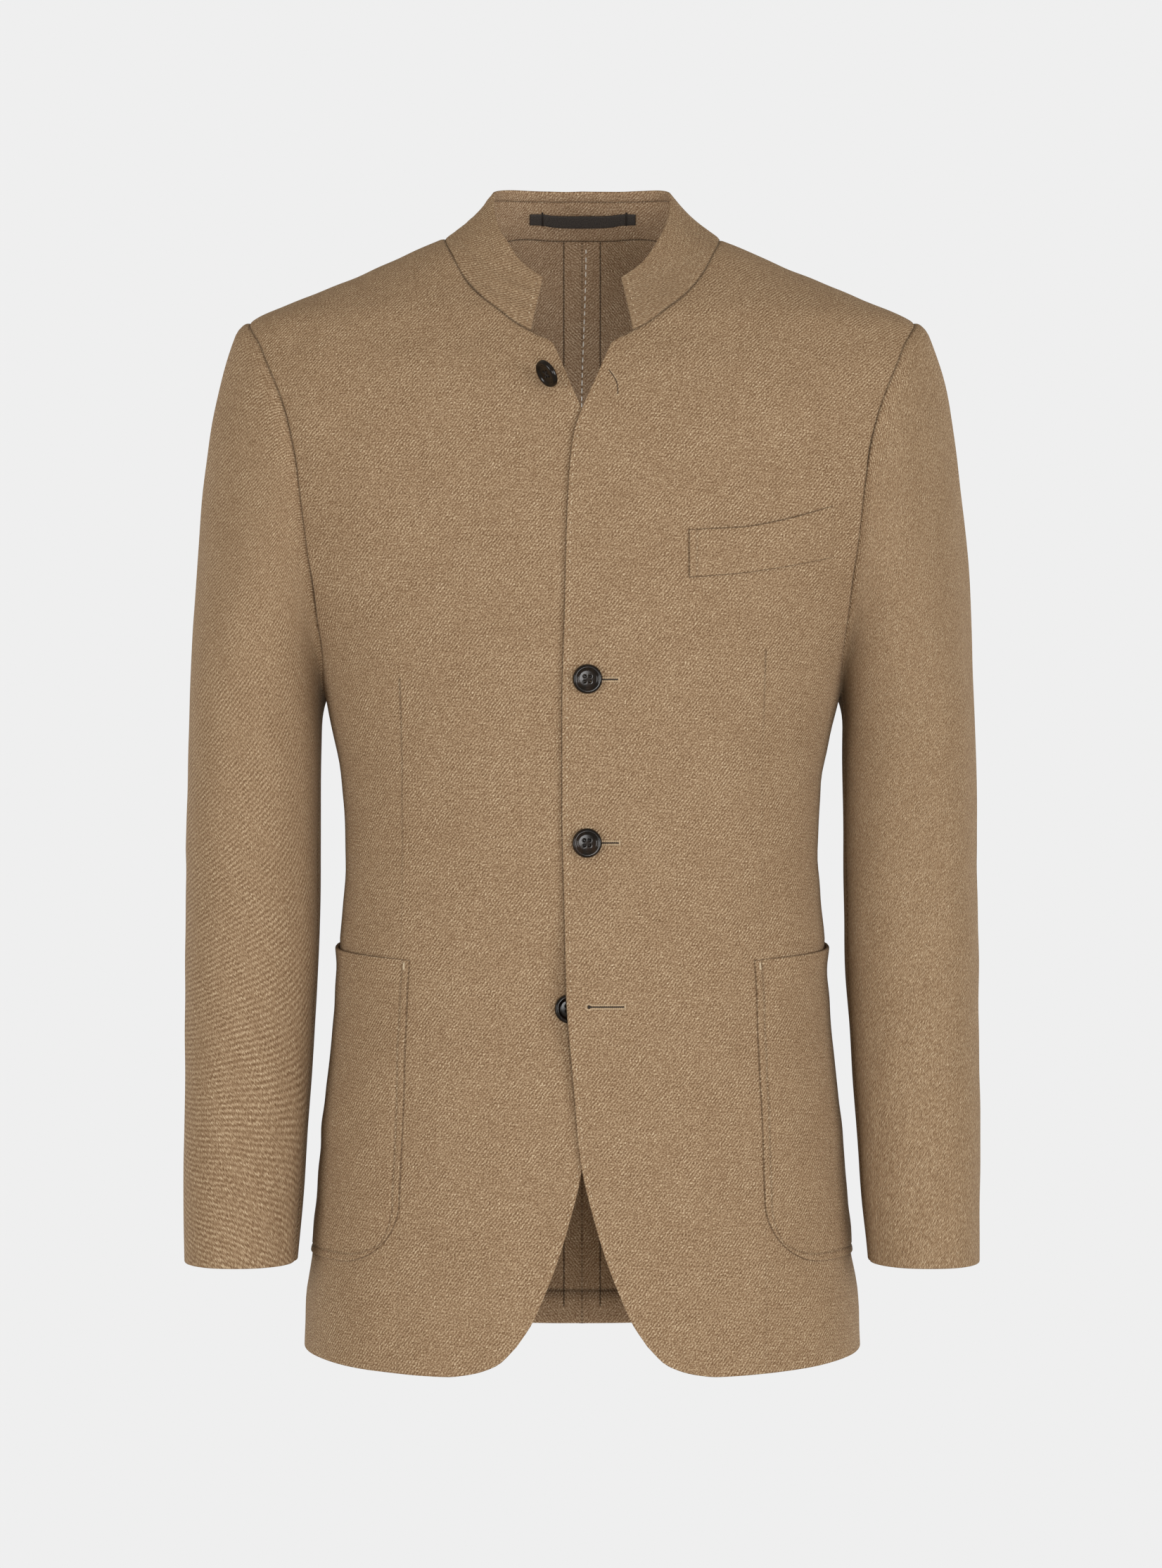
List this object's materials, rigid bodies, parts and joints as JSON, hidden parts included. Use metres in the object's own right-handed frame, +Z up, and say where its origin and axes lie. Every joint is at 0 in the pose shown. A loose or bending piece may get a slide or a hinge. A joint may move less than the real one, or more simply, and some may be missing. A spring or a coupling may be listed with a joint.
{
  "type": "stand collar blazer",
  "caption": "Hollow, filled-out wool blazer with a stand collar, two-piece sleeves, patch pockets, a chest welt and buttoned front.",
  "frame": {"origin": "between the shoulders, on the centre line, at the height where the collar meets the shoulder seams: there the wearer's shoulders and neck hold it up", "axes": "+Z up, -Y out of the front, +X to the wearer's left, which is the viewer's right"},
  "size_m": [0.561, 0.2449, 0.8306],
  "materials": {
    "cloth": "light brown wool twill with a soft nap",
    "pocket_cloth": "the same wool twill",
    "button": "polished, near-black brown",
    "tape": "black woven tape"
  },
  "bodies": {
    "root": {"front_left": "cloth", "front_right": "cloth", "back_left": "cloth", "back_right": "cloth", "top_sleeve_left": "cloth", "top_sleeve_right": "cloth", "under_sleeve_left": "cloth", "under_sleeve_right": "cloth", "stand_collar": "cloth", "patch_pocket_left": "pocket_cloth", "patch_pocket_right": "pocket_cloth", "chest_welt": "pocket_cloth", "button_neck": "button", "button_chest": "button", "button_waist": "button", "button_lower": "button", "hanger_loop": "tape"}
  },
  "joints": []
}
